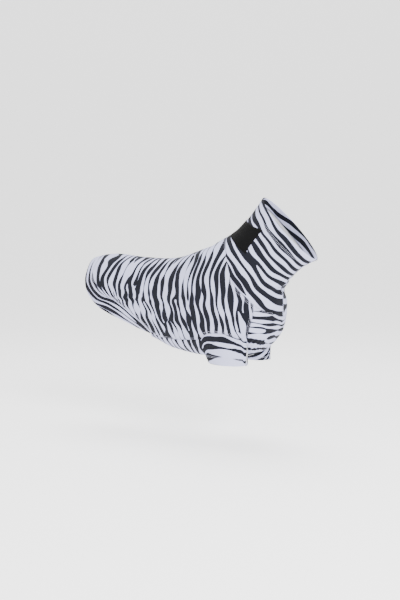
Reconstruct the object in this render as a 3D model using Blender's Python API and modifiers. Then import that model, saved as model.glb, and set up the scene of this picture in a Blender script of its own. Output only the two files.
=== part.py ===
"""A dog's stretch fly sheet: a close-fitting shirt with a high collar and two short sleeves.

The shirt is modelled as it is worn. Its cloth pieces lie on one body form, a loft through oval ribs
from rump to head. Seams are drawn on the form in side view, and each cloth piece fills the patch
between its seams. Metres; +X points to the wearer's head, +Y to its left side, +Z up. The origin is
on the wearer's midline, inside the chest.
"""

import math

import bmesh
import bpy
import numpy as np
from mathutils import Matrix, Vector

MM = 0.001

# Overall size, in millimetres. The form and its seams are drawn in the base size and graded to these.
BASE_BACK_LENGTH = 340.0
BACK_LENGTH = 340.0         # along the back, from the rear hem to the collar's seam
BASE_BODY_WIDTH = 148.0
BODY_WIDTH = 148.0          # across the chest at its widest
GRADE = (BACK_LENGTH / BASE_BACK_LENGTH, BODY_WIDTH / BASE_BODY_WIDTH, 1.0)

# Cloth, threads and clearances, in millimetres
CLOTH = 1.0                 # thickness of the knitted cloth
GAP = 0.6                   # between two pieces that meet at a seam
SLEEVE_GAP = 2.4 + CLOTH    # a sleeve meets the underside panel at a sharp angle, so it stands off more
THREAD = 0.6                # how thick a stitch line's threads lie
THREAD_GAP = 0.55           # from the cloth to the threads on it
PATCH_GAP = 0.95            # from the collar's cloth to the patch on it
STITCH_WIDTH = 3.0          # two needle rows and the threads between them
STITCH_SET_BACK = 3.2       # from a seam to the middle of the stitches beside it
FOLD = 2.4                  # from a turned hem's outer layer to its inner one, between their middles
BAND_FOLD = 3.4             # the same in the rear band, which holds the elastic tape
COLLAR_TUCK = 1.9           # how far the collar lies inside the neck edge, so that it can nod
COLLAR_HEM = 20.0
SLEEVE_HEM = 11.0
ELASTIC = 0.8               # thickness of the elastic tape inside the rear band
ELASTIC_SHARE = (0.32, 0.78)  # the tape's edges, as shares of the band's width from its seam
BAND_SECTION = [(0, 0), (0.5, 0), (0.94, 0), (1, 0.5), (0.94, 1), (0.5, 1), (0.08, 1)]  # width, depth

# Ribs of the body form, rump to head, in millimetres: the back point (x, z), the belly point (x, z),
# the half width, and how square the oval is (2 is an ellipse)
RIBS = [
    (-278, 84, -288, -50, 48, 2.1),
    (-240, 92, -240, -70, 57, 2.1),
    (-204, 94, -198, -77, 60, 2.1),
    (-150, 89, -150, -80, 61, 2.1),
    (-100, 87, -106, -86, 62, 2.2),
    (-52, 89, -62, -102, 65, 2.3),
    (-10, 99, -12, -111, 69, 2.5),
    (22, 109, 42, -114, 73, 2.8),
    (44, 116, 92, -112, 74, 3.0),
    (60, 126, 139, -100, 72, 2.9),
    (79, 137, 180, -64, 66, 2.5),
    (95, 148, 193, -22, 59, 2.2),
    (109, 161, 191, 12, 53, 2.1),
    (123, 176, 203, 44, 47, 2.0),
    (136, 193, 231, 72, 44, 2.0),
    (149, 211, 263, 88, 42, 2.0),
]

# Seams and edges in side view, (x, z) in millimetres, as they lie on the wearer's right side
REAR_HEM = [(-268, 90), (-266, 62), (-266, 38), (-257, 12), (-233, -14), (-203, -32), (-165, -48),
            (-130, -63), (-102, -73)]
BAND_SEAM = [(-245, 92), (-247, 55), (-241, 34), (-214, 8), (-177, -4), (-137, -29), (-110, -52),
             (-94, -69)]
BELLY_HEM = [(-94, -69), (-103, -79), (-109, -87)]
BELLY_SEAM = [(-94, -69), (-68, -78), (-20, -79), (40, -75)]
ARMHOLE = [(40, -75), (50, -65), (67, -60), (95, -60), (120, -67), (140, -75)]
CHEST_SEAM = [(140, -75), (148, -48), (156, -20), (157, 1)]
NECK_SEAM = [(72, 137), (83, 124), (95, 97), (105, 68), (116, 42), (134, 22), (157, 1)]
NECK_SEAM_FRONT = [(157, 1), (172, -10), (186, -14)]
UNDERARM = [(62, 18), (88, 15), (116, 18)]  # x on the belly line, and how far from the midline

# A sleeve's hem is an oval around the leg, seen from above, and slopes down to the front
HEM_CENTRE = (95, -49)
HEM_HALF = (42, 32)
HEM_Z = (-119, -121)        # at its rear and at its front
SLEEVE_BULGE = 0.045        # as a share of the sleeve's length at each place

# The collar nods with the wearer's head. Each sleeve lifts outwards with its leg.
NOD_AXIS = (132, 60)        # x, z; along Y
LIFT_AXIS = (-67, -62)      # y, z on the right side; along X

# Trims
PATCH = (84, 116, 74)       # x of its rear and front edges on the nape line, and its reach in degrees
PATCH_LEAN = 1.9            # how far its ends lean forward on the form, in ribs
LABEL_SIZE = (0.5, 22, 28)  # thickness, width, length
LABEL_X = 44                # it hangs from the back panel, inside the neck

# How finely the patches are divided
BELLY_STEPS = 9
ARM_STEPS = 11
NECK_STEPS = 11
NECK_FRONT_STEPS = 6
CHEST_STEPS = 6
UNDERARM_STEPS = 10
HALF_BELLY_STEPS = 5
COLLAR_STEPS = 7
SLEEVE_STEPS = 4
PER_SPAN = 16
TAPE_END_STEPS = 3          # the tape stops this many steps short of the band's lower end

MATERIALS = {
    "printed_knit": ((0.53, 0.55, 0.70, 1), 0.85),
    "thread": ((0.62, 0.64, 0.75, 1), 0.6),
    "patch_cloth": ((0.012, 0.012, 0.014, 1), 0.5),
    "elastic_tape": ((0.75, 0.75, 0.75, 1), 0.8),
    "label_tape": ((0.8, 0.8, 0.8, 1), 0.7),
}


# --- the body form ---

def smooth_line(points, per_span=PER_SPAN):
    """A dense line on a smooth curve through the points."""
    points = np.array(points, float)
    points = np.vstack([2 * points[0] - points[1], points, 2 * points[-1] - points[-2]])
    t = np.linspace(0, 1, per_span, endpoint=False)[:, None]
    spans = [
        0.5 * (2 * b + (c - a) * t + (2 * a - 5 * b + 4 * c - d) * t**2 + (3 * b - a - 3 * c + d) * t**3)
        for a, b, c, d in zip(points, points[1:], points[2:], points[3:])
    ]
    return np.vstack([*spans, points[-2:-1]])


def evenly(line, steps):
    """The points that divide a line into equal steps."""
    lengths = np.linalg.norm(np.diff(line, axis=0), axis=1)
    along = np.concatenate([[0], np.cumsum(lengths)])
    stops = np.linspace(0, along[-1], steps + 1)
    return np.stack([np.interp(stops, along, column) for column in line.T], axis=1)


FORM = smooth_line(RIBS)
STATIONS = np.arange(len(FORM)) / PER_SPAN


def rib_at(station):
    return [np.interp(station, STATIONS, column) for column in FORM.T]


def form_point(place, inset=0.0):
    """A point of the form's right side, in millimetres, at a place (station, angle from the back)."""
    top_x, top_z, belly_x, belly_z, half_width, square = rib_at(place[0])
    middle = np.array([top_x + belly_x, top_z + belly_z]) / 2
    reach = np.array([top_x - belly_x, top_z - belly_z]) / 2
    share = math.cos(place[1])
    inset /= max(GRADE)  # a gap between two pieces doesn't grow with the shirt
    width = (half_width - inset) * max(0.0, 1 - abs(share) ** square) ** (1 / square)
    x, z = middle + reach * share * (1 - inset / np.linalg.norm(reach))
    return np.array([x, -width, z])


def place_of(x, z):
    """The place (station, angle) of a point that is given in side view."""
    across = FORM[:, 2:4] - FORM[:, 0:2]
    offset = np.array([x, z]) - FORM[:, 0:2]
    side = across[:, 0] * offset[:, 1] - across[:, 1] * offset[:, 0]
    share = (offset * across).sum(axis=1) / (across**2).sum(axis=1)
    for i in range(len(FORM) - 1):
        if side[i] * side[i + 1] <= 0 and -0.2 < share[i] < 1.2:
            part = side[i] / (side[i] - side[i + 1])
            down = min(max(share[i] + part * (share[i + 1] - share[i]), 0.0), 1.0)
            return STATIONS[i] + part / PER_SPAN, math.acos(1 - 2 * down)
    raise ValueError(f"no rib passes ({x}, {z})")


def place_beside(x, from_midline, on_back=False):
    """The place on the belly, or on the back, at x along its midline and so far to the side of it."""
    station = float(np.interp(x, FORM[:, 0 if on_back else 2], STATIONS))
    half_width, square = rib_at(station)[4:6]
    angle = math.acos((1 - (from_midline / half_width) ** square) ** (1 / square))
    return station, angle if on_back else math.pi - angle


def seam(points, steps, starts_on_back=False, ends_on_belly=False):
    """A seam drawn in side view, as even steps of places on the form."""
    places = np.array([place_of(*point) for point in smooth_line(points)])
    if starts_on_back:
        places[0, 1] = 0.0
    if ends_on_belly:
        places[-1, 1] = math.pi
    on_form = np.array([form_point(place) for place in places])
    return evenly(np.hstack([on_form, places]), steps)[:, 3:5]


def underarm_seam():
    """The armhole's inner edge, from its rear corner between the legs to its front corner."""
    corners = [place_of(*ARMHOLE[0]), *[place_beside(*point) for point in UNDERARM], place_of(*ARMHOLE[-1])]
    return seam_of_places(corners, UNDERARM_STEPS)


def seam_of_places(corners, steps):
    places = smooth_line(corners)
    on_form = np.array([form_point(place) for place in places])
    return evenly(np.hstack([on_form, places]), steps)[:, 3:5]


def centre_line(start, end, steps):
    """Places along the back or the belly line between two places on it."""
    line = np.linspace(start, end, 4 * steps)
    on_form = np.array([form_point(place) for place in line])
    return evenly(np.hstack([on_form, line]), steps)[:, 3:5]


def joined(*lines):
    """Lines that follow on from each other, as one."""
    return np.vstack([lines[0], *[line[1:] for line in lines[1:]]])


def patch(centre, side, rear, front):
    """A grid of places that fills the four edges: rows from rear to front, columns from centre to side."""
    u = np.linspace(0, 1, len(centre))[:, None, None]
    v = np.linspace(0, 1, len(rear))[None, :, None]
    between_sides = (1 - v) * centre[:, None] + v * side[:, None]
    between_ends = (1 - u) * rear[None] + u * front[None]
    corners = (1 - u) * ((1 - v) * centre[0] + v * side[0]) + u * ((1 - v) * centre[-1] + v * side[-1])
    return between_sides + between_ends - corners


def on_form(grid, inset=0.0):
    """A grid of places as points in millimetres."""
    return np.array([[form_point(place, inset) for place in row] for row in grid])


def drawn_in(points, edges):
    """The grid of points with the named edges moved in by half a gap, along the grid."""
    points = points.copy()
    ends = {
        "first_row": (0, 1, 0),
        "last_row": (-1, -2, 0),
        "first_column": (0, 1, 1),
        "last_column": (-1, -2, 1),
    }
    for name in edges:
        edge, inner, axis = ends[name]
        rows = np.swapaxes(points, 0, axis)
        run = rows[inner] - rows[edge]
        rows[edge] += run / np.linalg.norm(run, axis=1, keepdims=True) * GAP / 2
    return points


# --- Blender objects ---

def clear_scene():
    for thing in list(bpy.data.objects):
        bpy.data.objects.remove(thing)


def collection(name):
    made = bpy.data.collections.new(name)
    bpy.context.scene.collection.children.link(made)
    return made


def material(name):
    colour, roughness = MATERIALS[name]
    made = bpy.data.materials.get(name) or bpy.data.materials.new(name)
    made.use_nodes = True
    shader = made.node_tree.nodes["Principled BSDF"]
    shader.inputs["Base Color"].default_value = colour
    shader.inputs["Roughness"].default_value = roughness
    shader.inputs["Metallic"].default_value = 0.0
    return made


def graded(point):
    """A point of the base size in millimetres, as a place of the graded shirt in metres."""
    return Vector(np.multiply(point, GRADE)) * MM


def grid_mesh(name, points, closed=False, flip=False):
    """A mesh of four-sided faces over a grid of points. closed joins the last column to the first."""
    bm = bmesh.new()
    rows = [[bm.verts.new(graded(point)) for point in row] for row in points]
    for near, far in zip(rows, rows[1:]):
        corners = list(zip(near, near[1:], far[1:], far))
        if closed:
            corners.append((near[-1], near[0], far[0], far[-1]))
        for a, b, c, d in corners:
            bm.faces.new((a, d, c, b) if flip else (a, b, c, d))
    mesh = bpy.data.meshes.new(name)
    bm.to_mesh(mesh)
    bm.free()
    return mesh


def add_object(name, mesh, look, home, origin=(0, 0, 0)):
    """An object whose mesh is given in world space, with its own origin as a point of the base size."""
    shift = graded(origin)
    mesh.transform(Matrix.Translation(-shift))
    mesh.materials.append(material(look))
    mesh.shade_smooth()
    made = bpy.data.objects.new(name, mesh)
    made.location = shift
    home.objects.link(made)
    return made


def mirrored(thing):
    modifier = thing.modifiers.new("Left half", "MIRROR")
    modifier.use_axis = (False, True, False)
    modifier.merge_threshold = 0.0001
    return thing


def thickened(thing, thickness=CLOTH):
    modifier = thing.modifiers.new("Thickness", "SOLIDIFY")
    modifier.thickness = thickness * MM
    modifier.offset = 0.0
    modifier.use_even_offset = True
    return thing


def left_copy(mesh, name):
    """The mesh mirrored to the wearer's left side."""
    bm = bmesh.new()
    bm.from_mesh(mesh)
    bmesh.ops.scale(bm, vec=(1, -1, 1), verts=bm.verts)
    bmesh.ops.reverse_faces(bm, faces=bm.faces)
    made = bpy.data.meshes.new(name)
    bm.to_mesh(made)
    bm.free()
    return made


def add_pair(name, mesh, look, home, origin=(0, 0, 0)):
    """The same piece on the wearer's right and left sides."""
    other = left_copy(mesh, f"left_{name}")
    right = add_object(f"right_{name}", mesh, look, home, origin)
    left = add_object(f"left_{name}", other, look, home, (origin[0], -origin[1], origin[2]))
    return right, left


# --- cloth pieces ---

def pattern():
    """Every seam and edge, as places on the form's right side."""
    lines = {
        "rear_hem": seam(REAR_HEM, NECK_STEPS + CHEST_STEPS, starts_on_back=True),
        "band_seam": seam(BAND_SEAM, NECK_STEPS + CHEST_STEPS, starts_on_back=True),
        "belly_hem": seam(BELLY_HEM, HALF_BELLY_STEPS, ends_on_belly=True),
        "belly_seam": seam(BELLY_SEAM, BELLY_STEPS),
        "armhole": seam(ARMHOLE, ARM_STEPS),
        "underarm": underarm_seam(),
        "chest_seam": seam(CHEST_SEAM, CHEST_STEPS),
        "neck_seam": seam(NECK_SEAM, NECK_STEPS, starts_on_back=True),
        "neck_seam_front": seam(NECK_SEAM_FRONT, NECK_FRONT_STEPS, ends_on_belly=True),
    }
    return lines


def add_back_panel(lines, home):
    """Back and both flanks, from the rear band to the collar and down to the belly seams and armholes."""
    side = joined(lines["belly_seam"], lines["armhole"])
    front = joined(lines["neck_seam"], lines["chest_seam"][::-1])
    centre = centre_line(lines["band_seam"][0], lines["neck_seam"][0], len(side) - 1)
    points = on_form(patch(centre, side, lines["band_seam"], front))
    points = drawn_in(points, ("first_row", "last_row", "last_column"))
    thickened(mirrored(add_object("back_panel", grid_mesh("back_panel", points), "printed_knit", home)))


def add_underside_panel(lines, home):
    """Chest and belly in one piece, narrow where it passes between the legs."""
    side = joined(lines["belly_seam"], lines["underarm"], lines["chest_seam"])
    rear = lines["belly_hem"][::-1]
    front = evenly(lines["neck_seam_front"][::-1], HALF_BELLY_STEPS)
    centre = centre_line(rear[0], front[0], len(side) - 1)
    points = on_form(patch(centre, side, rear, front))
    points = drawn_in(points, ("first_row", "last_row", "last_column"))
    mesh = grid_mesh("underside_panel", points, flip=True)
    thickened(mirrored(add_object("underside_panel", mesh, "printed_knit", home)))


def collar_places(lines):
    """Rows of places from the neck seam to the collar's top."""
    foot = joined(lines["neck_seam"], lines["neck_seam_front"])
    top = np.stack([np.full(len(foot), STATIONS[-1]), np.linspace(0, math.pi, len(foot))], axis=1)
    return [foot + (top - foot) * i / COLLAR_STEPS for i in range(COLLAR_STEPS + 1)]


def add_collar(lines, home):
    """The collar, with its top turned in and stitched down."""
    rows = collar_places(lines)
    points = [on_form([row], COLLAR_TUCK)[0] for row in rows]
    run = points[-1] - points[-2]
    run /= np.linalg.norm(run, axis=1, keepdims=True)
    inner = on_form([rows[-1]], COLLAR_TUCK + FOLD)[0]
    points.append((points[-1] + inner) / 2 + run * FOLD / 3)
    points += [inner, inner - run * COLLAR_HEM / 2, inner - run * COLLAR_HEM]
    points = np.array(points)
    points[:, 0, 1] = points[:, -1, 1] = 0.0
    origin = (NOD_AXIS[0], 0, NOD_AXIS[1])
    mesh = grid_mesh("collar", drawn_in(points, ("first_row",)))
    thickened(mirrored(add_object("collar", mesh, "printed_knit", home, origin)))


def sleeve_rings(lines):
    """A sleeve's top ring, along the armhole, and its hem ring, each hem point in line with a top one."""
    top = on_form([joined(lines["armhole"], lines["underarm"][::-1])[:-1]])[0]
    around = (top[:, :2] - HEM_CENTRE) / HEM_HALF
    around /= np.linalg.norm(around, axis=1, keepdims=True)
    heights = HEM_Z[0] + (HEM_Z[1] - HEM_Z[0]) * (around[:, 0] + 1) / 2
    return top, np.column_stack([HEM_CENTRE + around * HEM_HALF, heights])


def sleeve_points(lines):
    """Rings of a sleeve from just below the armhole to the hem, and each column's outward direction."""
    top, hem = sleeve_rings(lines)
    length = np.linalg.norm(hem - top, axis=1, keepdims=True)
    top += (hem - top) / length * SLEEVE_GAP
    outward = hem - np.array([*HEM_CENTRE, 0])
    outward[:, 2] = 0
    outward /= np.linalg.norm(outward, axis=1, keepdims=True)
    rings = []
    for i in range(SLEEVE_STEPS + 1):
        t = i / SLEEVE_STEPS
        rings.append(top + (hem - top) * t + outward * length * SLEEVE_BULGE * math.sin(math.pi * t))
    return rings, outward


def add_sleeves(lines, home):
    """Short sleeves, open at the armhole and with the hem turned in."""
    rings, outward = sleeve_points(lines)
    hem = rings[-1]
    turned = hem - outward * FOLD
    up = np.array([0, 0, 1])
    points = np.array([*rings, (hem + turned) / 2 - up * FOLD / 3, turned, turned + up * SLEEVE_HEM / 2])
    mesh = grid_mesh("right_sleeve", points, closed=True, flip=True)
    for sleeve in add_pair("sleeve", mesh, "printed_knit", home, (HEM_CENTRE[0], *LIFT_AXIS)):
        thickened(sleeve)


def band_row(lines, share, inset):
    """A line around the rear opening, at a share of the band's width from its seam."""
    return on_form([lines["band_seam"] + (lines["rear_hem"] - lines["band_seam"]) * share], inset)[0]


def add_rear_band(lines, home):
    """A band folded over the rear edge, with elastic tape inside the fold."""
    rows = [band_row(lines, share, depth * BAND_FOLD) for share, depth in BAND_SECTION]
    mesh = grid_mesh("rear_band", drawn_in(np.array(rows), ("first_row", "last_column")), flip=True)
    thickened(mirrored(add_object("rear_band", mesh, "printed_knit", home)))
    tape = np.array([band_row(lines, share, BAND_FOLD / 2)[:-TAPE_END_STEPS] for share in ELASTIC_SHARE])
    mesh = grid_mesh("rear_elastic", tape, flip=True)
    thickened(mirrored(add_object("rear_elastic", mesh, "elastic_tape", home)), ELASTIC)


# --- stitches and trims ---

def form_normal(place):
    """The form's outward direction at a place."""
    step = 0.01
    station, angle = place
    angle = min(max(angle, 2 * step), math.pi - 2 * step)
    along = form_point((station + step, angle)) - form_point((station - step, angle))
    around = form_point((station, angle + step)) - form_point((station, angle - step))
    normal = np.cross(around, along)
    if place[1] in (0.0, math.pi):
        normal[1] = 0.0
    return normal / np.linalg.norm(normal)


def stitch_points(places, set_back):
    """Two rows of points beside a line of places, on the cloth's outside. set_back is to the line's left."""
    middle = on_form([places])[0]
    normals = np.array([form_normal(place) for place in places])
    run = np.gradient(middle, axis=0)
    if places[0][1] == 0.0:
        run[0][1] = -1.0
        run[0][[0, 2]] = 0.0
    beside = np.cross(normals, run)
    beside /= np.linalg.norm(beside, axis=1, keepdims=True)
    lift = normals * (CLOTH / 2 + THREAD_GAP + THREAD / 2)
    edges = (set_back - STITCH_WIDTH / 2, set_back + STITCH_WIDTH / 2)
    return np.array([middle + beside * edge + lift for edge in edges])


def add_stitches(lines, home):
    around = joined(lines["neck_seam"], lines["neck_seam_front"])
    whole = {
        "neck_seam_stitches": stitch_points(around, -STITCH_SET_BACK),
        "band_seam_stitches": stitch_points(lines["band_seam"][:-1], STITCH_SET_BACK),
    }
    for name, points in whole.items():
        mesh = grid_mesh(name, points)
        thickened(mirrored(add_object(name, mesh, "thread", home)), THREAD)
    sides = {
        "belly_seam_stitches": stitch_points(lines["belly_seam"][1:-1], STITCH_SET_BACK),
        "armhole_stitches": stitch_points(lines["armhole"][1:-1], STITCH_SET_BACK),
        "chest_seam_stitches": stitch_points(lines["chest_seam"][1:-1], STITCH_SET_BACK),
    }
    for name, points in sides.items():
        for piece in add_pair(name, grid_mesh(name, points), "thread", home):
            thickened(piece, THREAD)


def add_patch(home):
    """A plain patch sewn over the nape, on the collar."""
    rear, front = [place_of(x, np.interp(x, FORM[:, 0], FORM[:, 1]))[0] for x in PATCH[:2]]
    angles = np.linspace(0, math.radians(PATCH[2]), 8)
    lift = CLOTH / 2 + PATCH_GAP + THREAD / 2 - COLLAR_TUCK
    lean = PATCH_LEAN * (1 - np.cos(angles))
    places = [list(zip(station + lean, angles)) for station in np.linspace(rear, front, 4)]
    mesh = grid_mesh("nape_patch", on_form(places, -lift))
    origin = (NOD_AXIS[0], 0, NOD_AXIS[1])
    thickened(mirrored(add_object("nape_patch", mesh, "patch_cloth", home, origin)), THREAD)


def add_care_label(home):
    """A tape label that hangs inside the back of the neck. Its origin is on its sewn edge."""
    edge = form_point(place_beside(LABEL_X, LABEL_SIZE[1] / 2 / GRADE[1], on_back=True))
    top = edge[2] - CLOTH / 2 - GAP
    bm = bmesh.new()
    bmesh.ops.create_cube(bm, size=1)
    bmesh.ops.scale(bm, vec=Vector(LABEL_SIZE) * MM, verts=bm.verts)
    bmesh.ops.translate(bm, vec=graded((edge[0], 0, top - LABEL_SIZE[2] / 2)), verts=bm.verts)
    mesh = bpy.data.meshes.new("care_label")
    bm.to_mesh(mesh)
    bm.free()
    label = add_object("care_label", mesh, "label_tape", home, (edge[0], 0, top))
    label.data.shade_flat()


def main():
    clear_scene()
    home = collection("fly_sheet")
    lines = pattern()
    add_back_panel(lines, home)
    add_underside_panel(lines, home)
    add_collar(lines, home)
    add_sleeves(lines, home)
    add_rear_band(lines, home)
    add_stitches(lines, home)
    add_patch(home)
    add_care_label(home)


main()
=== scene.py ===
"""Looks of a dog's stretch fly sheet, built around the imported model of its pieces.

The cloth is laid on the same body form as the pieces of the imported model: a loft through oval ribs.
A place on the form is (station, angle): how far from rump to head, and how far round from the back.
Positive angles are on the wearer's right side. Tables are in millimetres, and meshes in metres.
"""

import math

import bpy
import numpy as np
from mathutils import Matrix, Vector, noise
from mathutils.bvhtree import BVHTree
from mathutils.kdtree import KDTree


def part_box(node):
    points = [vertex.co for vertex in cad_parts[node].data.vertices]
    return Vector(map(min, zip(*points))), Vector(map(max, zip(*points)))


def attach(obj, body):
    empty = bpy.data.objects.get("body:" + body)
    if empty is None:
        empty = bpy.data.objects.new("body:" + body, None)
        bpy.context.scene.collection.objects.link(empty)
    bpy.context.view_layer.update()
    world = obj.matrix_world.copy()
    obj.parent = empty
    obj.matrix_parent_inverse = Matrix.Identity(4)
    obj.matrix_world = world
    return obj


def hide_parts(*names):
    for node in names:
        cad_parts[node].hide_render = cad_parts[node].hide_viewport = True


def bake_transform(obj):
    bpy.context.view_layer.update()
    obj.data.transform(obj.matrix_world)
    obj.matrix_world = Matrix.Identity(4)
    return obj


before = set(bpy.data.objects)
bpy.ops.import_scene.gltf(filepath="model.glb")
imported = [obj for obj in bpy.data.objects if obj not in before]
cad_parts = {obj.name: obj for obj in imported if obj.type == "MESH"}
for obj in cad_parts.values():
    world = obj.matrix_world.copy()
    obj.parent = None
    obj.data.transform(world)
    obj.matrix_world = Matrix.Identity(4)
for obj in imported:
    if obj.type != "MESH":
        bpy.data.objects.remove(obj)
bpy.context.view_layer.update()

bl_info = {
    "name": "Dog fly sheet",
    "version": (1, 0, 0),
    "blender": (4, 5, 0),
    "location": "View3D > Sidebar > Fly Sheet",
    "description": "Builds the cloth, stitching and trims of a dog's stretch fly sheet",
    "category": "Object",
}

MM = 0.001

# --- the cut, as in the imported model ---

# Ribs of the body form, rump to head: the back point (x, z), the belly point (x, z), the half width,
# and how square the oval is
RIBS = [
    (-278, 84, -288, -50, 48, 2.1),
    (-240, 92, -240, -70, 57, 2.1),
    (-204, 94, -198, -77, 60, 2.1),
    (-150, 89, -150, -80, 61, 2.1),
    (-100, 87, -106, -86, 62, 2.2),
    (-52, 89, -62, -102, 65, 2.3),
    (-10, 99, -12, -111, 69, 2.5),
    (22, 109, 42, -114, 73, 2.8),
    (44, 116, 92, -112, 74, 3.0),
    (60, 126, 139, -100, 72, 2.9),
    (79, 137, 180, -64, 66, 2.5),
    (95, 148, 193, -22, 59, 2.2),
    (109, 161, 191, 12, 53, 2.1),
    (123, 176, 203, 44, 47, 2.0),
    (136, 193, 231, 72, 44, 2.0),
    (149, 211, 263, 88, 42, 2.0),
]
PER_SPAN = 40

# Seams and edges in side view, (x, z)
REAR_HEM = [(-268, 90), (-266, 62), (-266, 38), (-257, 12), (-233, -14), (-203, -32), (-165, -48),
            (-130, -63), (-102, -73)]
BAND_SEAM = [(-245, 92), (-247, 55), (-241, 34), (-214, 8), (-177, -4), (-137, -29), (-110, -52),
             (-94, -69)]
BELLY_HEM = [(-94, -69), (-103, -79), (-109, -87)]
BELLY_SEAM = [(-94, -69), (-68, -78), (-20, -79), (40, -75)]
ARMHOLE = [(40, -75), (50, -65), (67, -60), (95, -60), (120, -67), (140, -75)]
CHEST_SEAM = [(140, -75), (148, -48), (156, -20), (157, 1)]
NECK_SEAM = [(72, 137), (83, 124), (95, 97), (105, 68), (116, 42), (134, 22), (157, 1)]
NECK_SEAM_FRONT = [(157, 1), (172, -10), (186, -14)]
UNDERARM = [(62, 18), (88, 15), (116, 18)]  # x on the belly line, and how far from the midline
HEM_CENTRE = (95, -49)      # a sleeve's hem is an oval round the leg
HEM_HALF = (42, 32)
HEM_Z = (-119, -121)        # at the hem's rear and at its front
SLEEVE_BULGE = 0.045        # how far a sleeve swells, as a share of its length
PATCH = (84, 116, 74)       # x of its rear and front edges on the nape, and its reach in degrees
PATCH_LEAN = 1.9            # how far its ends lean forward on the form, in ribs

# Points that a line is measured on before it is divided into steps
LINE_SAMPLES = 600
SEAM_SAMPLES = 6            # for each step of a seam
CLOSING_SAMPLES = 300

# Steps along each seam
BACK_STEPS = (63, 77)       # belly seam, armhole
SIDE_STEPS = (77, 42)       # neck seam, chest seam
FRONT_STEPS = 40
UNDERARM_STEPS = 70
HALF_BELLY_STEPS = 36
COLLAR_STEPS = 56
SLEEVE_STEPS = 24
BAND_STEPS = 14
FOLD_STEPS = 6

# Cloth and hems
CLOTH = 0.9
HEM_RADIUS = 1.2
BAND_RADIUS = 1.7
COLLAR_HEM = 20.0
SLEEVE_HEM = 11.0
BELLY_HEM_WIDTH = 9.0

# Seams: a shallow groove, a soft shoulder beside it, and puckers along it
GROOVE = (0.8, 1.7)         # depth, and how wide
SHOULDER = (0.3, 4.0, 3.0)  # height, how far from the seam, and how wide
PUCKER = (0.32, 8.5, 6.0)   # height, length along the seam, and how wide

# Across the throat: each one's height, its level on the body, and how wide
THROAT_FOLD = (-7.5, 29, 7.5)
THROAT_ROLL = (2.4, 6, 11)
THROAT_CREASE = (-1.3, 47, 5)
THROAT_SPREAD = 34          # how far to the side they reach
THROAT_FROM = (135, 165)    # x where they begin, and where they are whole
THROAT_SAG = 0.004          # how the fold droops to the sides

# Gathers at the sleeves' front corners
GATHER_CENTRE = (140, -78)
GATHER_REACH = 17
GATHER_LONGER = 1.3         # along the body, as a share of their reach up and down
GATHER_BELOW = (-55, -70)   # z where they begin, and where they are whole
GATHER_HEIGHT = 1.7
GATHER_SPACING = 7.5

# The cloth's slow waves: height, size and noise seed
SLOW_WAVES = ((0.75, 62, 1), (0.28, 24, 2))

# Drag lines that fan out round the armhole
DRAG_CENTRE = (95, -60)
DRAG_LINES = 9
DRAG_RING = (28, 20)        # how far out they lie, and how wide their ring is
DRAG_HEIGHT = 0.65

# Stitches
STITCH_LENGTH = 2.6
STITCH_STEP = 3.3
STITCH_RADIUS = 0.24
ROW_SET_BACK = (1.7, 4.7)   # the two needle rows, from the seam


class PrintSettings(bpy.types.PropertyGroup):
    """Colours and stripe sizes of the print."""

    pale: bpy.props.FloatVectorProperty(
        name="Ground colour", description="The pale lavender grey between the stripes",
        subtype="COLOR", size=3, default=(0.46, 0.47, 0.66), min=0, max=1)
    dark: bpy.props.FloatVectorProperty(
        name="Stripe colour", description="The near-black of the stripes",
        subtype="COLOR", size=3, default=(0.0035, 0.0038, 0.0068), min=0, max=1)
    period: bpy.props.FloatProperty(
        name="Stripe period", description="From one stripe to the next on the flank",
        default=0.0155, unit="LENGTH", min=0.004)
    length: bpy.props.FloatProperty(
        name="Stripe length", description="How far a stripe runs before it forks or ends",
        default=0.085, unit="LENGTH", min=0.01)


class ClothSettings(bpy.types.PropertyGroup):
    """Finish of the knitted cloth and its trims."""

    thread: bpy.props.FloatVectorProperty(
        name="Thread colour", description="Colour of the sewing thread",
        subtype="COLOR", size=3, default=(0.50, 0.50, 0.62), min=0, max=1)
    patch: bpy.props.FloatVectorProperty(
        name="Patch colour", description="Colour of the woven patch on the nape",
        subtype="COLOR", size=3, default=(0.0012, 0.0012, 0.0014), min=0, max=1)
    drag: bpy.props.FloatProperty(
        name="Drag lines", description="How strongly the cloth wrinkles where it is pulled",
        default=1.0, min=0, max=2)


class StageSettings(bpy.types.PropertyGroup):
    """Camera, floor and lights."""

    azimuth: bpy.props.FloatProperty(
        name="Azimuth", description="The camera's turn round the shirt, from its right side to its front",
        default=math.radians(31), subtype="ANGLE")
    elevation: bpy.props.FloatProperty(
        name="Elevation", description="The camera's height above the horizon",
        default=math.radians(4.5), subtype="ANGLE")
    distance: bpy.props.FloatProperty(
        name="Distance", description="From the camera to the middle of the shirt",
        default=1.9, unit="LENGTH")
    floor: bpy.props.FloatProperty(
        name="Floor height", description="Where the wearer's feet stand",
        default=-0.293, unit="LENGTH")


# --- the body form ---

def smooth_line(points):
    """A dense line on a smooth curve through the points."""
    points = np.array(points, float)
    points = np.vstack([2 * points[0] - points[1], points, 2 * points[-1] - points[-2]])
    t = np.linspace(0, 1, PER_SPAN, endpoint=False)[:, None]
    spans = [
        0.5 * (2 * b + (c - a) * t + (2 * a - 5 * b + 4 * c - d) * t**2 + (3 * b - a - 3 * c + d) * t**3)
        for a, b, c, d in zip(points, points[1:], points[2:], points[3:])
    ]
    return np.vstack([*spans, points[-2:-1]])


def evenly(line, steps):
    """The points that divide a line into equal steps, measured on its first three columns."""
    lengths = np.linalg.norm(np.diff(line[:, :3], axis=0), axis=1)
    along = np.concatenate([[0], np.cumsum(lengths)])
    stops = np.linspace(0, along[-1], steps + 1)
    return np.stack([np.interp(stops, along, column) for column in line.T], axis=1)


FORM = smooth_line(RIBS)
STATIONS = np.arange(len(FORM)) / PER_SPAN


def rib_at(stations):
    return [np.interp(stations, STATIONS, column) for column in FORM.T]


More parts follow.
